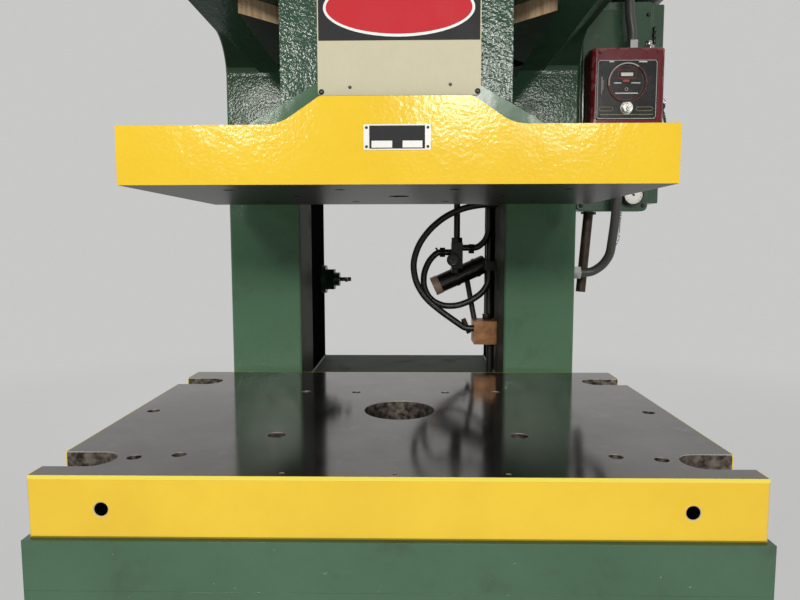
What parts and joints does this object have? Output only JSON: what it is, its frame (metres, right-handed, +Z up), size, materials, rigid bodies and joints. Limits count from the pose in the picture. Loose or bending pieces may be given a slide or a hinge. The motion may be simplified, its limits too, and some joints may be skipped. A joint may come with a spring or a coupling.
{
  "type": "stamping press",
  "caption": "Open-back gap-frame eccentric press with guided slide, drilled bolster plate, flywheel drive, shaft brake, counterbalance cylinders and side control box",
  "frame": {"origin": "on the floor, midway between the four anchor holes of the foot plates", "axes": "+X to the right as the operator sees it, +Y to the back, +Z up; the operator stands at -Y"},
  "size_m": [1.404, 1.673, 2.791],
  "materials": {
    "green_paint": "thick gloss enamel with orange peel",
    "yellow_paint": "gloss enamel",
    "ground_steel": "ground and oiled, dark, with worn scuffs",
    "machined_steel": "turned and ground",
    "bronze": "machined bearing bronze",
    "black_oxide": "blackened",
    "cast_iron": "machined faces, rough web",
    "grey_paint": "satin enamel",
    "red_paint": "dark gloss, worn edges",
    "black_panel": "gloss, light border",
    "sign_enamel": "enamelled sheet",
    "gauge_case": "plated",
    "grey_conduit": "ribbed, matt",
    "plated_fittings": "zinc plated",
    "rusty_pipe": "brown rust",
    "black_fittings": "oily black",
    "brass": "dull brass",
    "hose_rubber": "matt"
  },
  "bodies": {
    "frame": {"right_side_frame": "green_paint", "left_side_frame": "green_paint", "foot_plates": "green_paint", "bed_plate": "green_paint", "bed_apron": "green_paint", "bolster": "ground_steel", "rear_shelf": "green_paint", "front_web": "green_paint", "crown_rear_web": "green_paint", "crown_plate": "green_paint", "crown_cover": "green_paint", "front_gibs": "bronze", "centre_gibs": "bronze", "rear_gibs": "bronze", "gib_caps": "green_paint", "gib_bolts": "black_oxide", "main_bushes": "bronze", "quill": "machined_steel", "brake_caliper": "black_oxide", "brake_cover": "yellow_paint", "counterbalance_cylinders": "grey_paint", "motor": "grey_paint", "motor_bracket": "green_paint", "v_belts": "hose_rubber", "guard_band": "yellow_paint", "guard_face": "yellow_paint", "enclosure_cases": "green_paint", "enclosure_lids": "green_paint", "pressure_gauges": "gauge_case", "control_box": "red_paint", "control_panel": "black_panel", "conduits": "grey_conduit", "conduit_fittings": "plated_fittings", "drain_pipe": "rusty_pipe", "air_manifold": "black_fittings", "air_valve": "black_fittings", "air_muffler": "black_fittings", "air_filter": "brass", "air_hoses": "hose_rubber", "side_valve": "black_fittings"},
    "slide_body": {"slide": "yellow_paint", "sign_plate": "sign_enamel", "data_plate": "black_panel", "ball_seat": "bronze", "ball_retainer": "bronze", "counterbalance_rods": "machined_steel"},
    "crank": {"crankshaft": "machined_steel", "clutch_hub": "machined_steel", "brake_disc": "machined_steel"},
    "pitman_body": {"pitman": "cast_iron", "pitman_cap": "cast_iron", "cap_bolts": "black_oxide", "adjusting_screw": "machined_steel", "lock_ring": "machined_steel"},
    "flywheel_body": {"flywheel": "cast_iron", "clutch_housing": "cast_iron"},
    "motor_rotor": {"motor_shaft": "machined_steel", "motor_sheave": "cast_iron"},
    "key_body": {"key_switch": "gauge_case"},
    "valve_lever": {"valve_handle": "machined_steel"}
  },
  "joints": [
    {"name": "slide_stroke", "type": "slide", "parent": "frame", "child": "slide_body", "axis": [0, 0, 1], "range_m": [-0.038, 0]},
    {"name": "crank_turn", "type": "hinge", "parent": "frame", "child": "crank", "pos_m": [0, -0.26, 2.25], "axis": [1, 0, 0], "range_deg": [0, 180]},
    {"name": "pitman_swing", "type": "hinge", "parent": "crank", "child": "pitman_body", "pos_m": [0, -0.26, 2.269], "axis": [1, 0, 0], "range_deg": [-180, 0]},
    {"name": "flywheel_spin", "type": "hinge", "parent": "frame", "child": "flywheel_body", "pos_m": [-0.559, -0.26, 2.25], "axis": [1, 0, 0], "continuous": true},
    {"name": "motor_spin", "type": "hinge", "parent": "frame", "child": "motor_rotor", "pos_m": [-0.559, 0.78, 2.25], "axis": [1, 0, 0], "continuous": true},
    {"name": "key_turn", "type": "hinge", "parent": "frame", "child": "key_body", "pos_m": [0.548, 0.066, 1.5755], "axis": [0, 1, 0], "range_deg": [0, 90]},
    {"name": "valve_turn", "type": "hinge", "parent": "frame", "child": "valve_lever", "pos_m": [-0.19, 0.53, 1.132], "axis": [1, 0, 0], "range_deg": [-90, 0]}
  ],
  "couplings": [
    {"joint": "crank_turn", "follows": "slide_stroke", "rad_per_m": -82.66},
    {"joint": "pitman_swing", "follows": "slide_stroke", "rad_per_m": 82.66},
    {"joint": "motor_spin", "follows": "flywheel_spin", "ratio": 6.1333}
  ]
}
